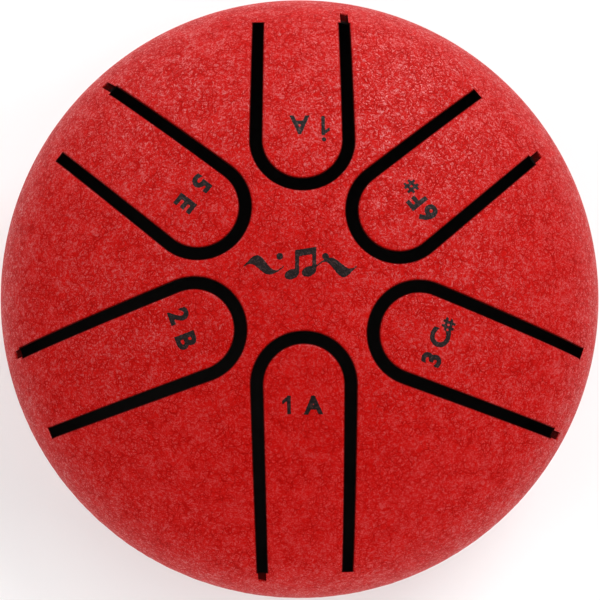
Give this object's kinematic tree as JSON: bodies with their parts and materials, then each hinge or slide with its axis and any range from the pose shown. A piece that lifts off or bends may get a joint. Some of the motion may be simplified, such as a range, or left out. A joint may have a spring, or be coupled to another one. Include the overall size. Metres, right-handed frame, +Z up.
{
  "type": "steel tongue drum",
  "caption": "Small round steel tongue drum: a domed top whose sheet is slotted into tuned tongues, a closed bottom shell with a sound hole, and soft feet.",
  "frame": {"origin": "middle of the footprint, on the surface the feet stand on", "axes": "+Z up through the top shell's pole; -Y towards the root of the low A tongue, +Y towards the high A tongue"},
  "size_m": [0.0802, 0.0802, 0.045],
  "materials": {
    "red_coat": "textured satin powder coat on 1 mm steel",
    "silicone": "matt moulded silicone",
    "adhesive": "pressure sensitive adhesive"
  },
  "bodies": {
    "drum": {"top_shell": "red_coat", "bottom_shell": "red_coat", "seam_weld": "red_coat", "foot_1": "silicone", "foot_2": "silicone", "foot_3": "silicone", "foot_adhesive_1": "adhesive", "foot_adhesive_2": "adhesive", "foot_adhesive_3": "adhesive"},
    "tongue_a_low": {"tongue_a_low": "red_coat"},
    "tongue_b": {"tongue_b": "red_coat"},
    "tongue_c_sharp": {"tongue_c_sharp": "red_coat"},
    "tongue_e": {"tongue_e": "red_coat"},
    "tongue_f_sharp": {"tongue_f_sharp": "red_coat"},
    "tongue_a_high": {"tongue_a_high": "red_coat"}
  },
  "joints": [
    {"name": "flex_a_low", "type": "hinge", "parent": "drum", "child": "tongue_a_low", "pos_m": [0.0005, -0.0358, 0.03149], "axis": [-0.9999, -0.014, 0], "range_deg": [-1, 1], "stiffness_Nm_per_rad": 15.5},
    {"name": "flex_b", "type": "hinge", "parent": "drum", "child": "tongue_b", "pos_m": [-0.03428, -0.01282, 0.03048], "axis": [-0.3502, 0.9367, 0], "range_deg": [-1, 1], "stiffness_Nm_per_rad": 16.5},
    {"name": "flex_c_sharp", "type": "hinge", "parent": "drum", "child": "tongue_c_sharp", "pos_m": [0.03459, -0.01286, 0.03005], "axis": [-0.3486, -0.9373, 0], "range_deg": [-1, 1], "stiffness_Nm_per_rad": 17.1},
    {"name": "flex_e", "type": "hinge", "parent": "drum", "child": "tongue_e", "pos_m": [-0.02782, 0.02205, 0.03182], "axis": [0.6211, 0.7837, 0], "range_deg": [-1, 1], "stiffness_Nm_per_rad": 18.8},
    {"name": "flex_f_sharp", "type": "hinge", "parent": "drum", "child": "tongue_f_sharp", "pos_m": [0.02631, 0.02153, 0.03323], "axis": [0.6334, -0.7738, 0], "range_deg": [-1, 1], "stiffness_Nm_per_rad": 19.2},
    {"name": "flex_a_high", "type": "hinge", "parent": "drum", "child": "tongue_a_high", "pos_m": [0, 0.0352, 0.03213], "axis": [1, 0, 0], "range_deg": [-1, 1], "stiffness_Nm_per_rad": 21.3}
  ]
}
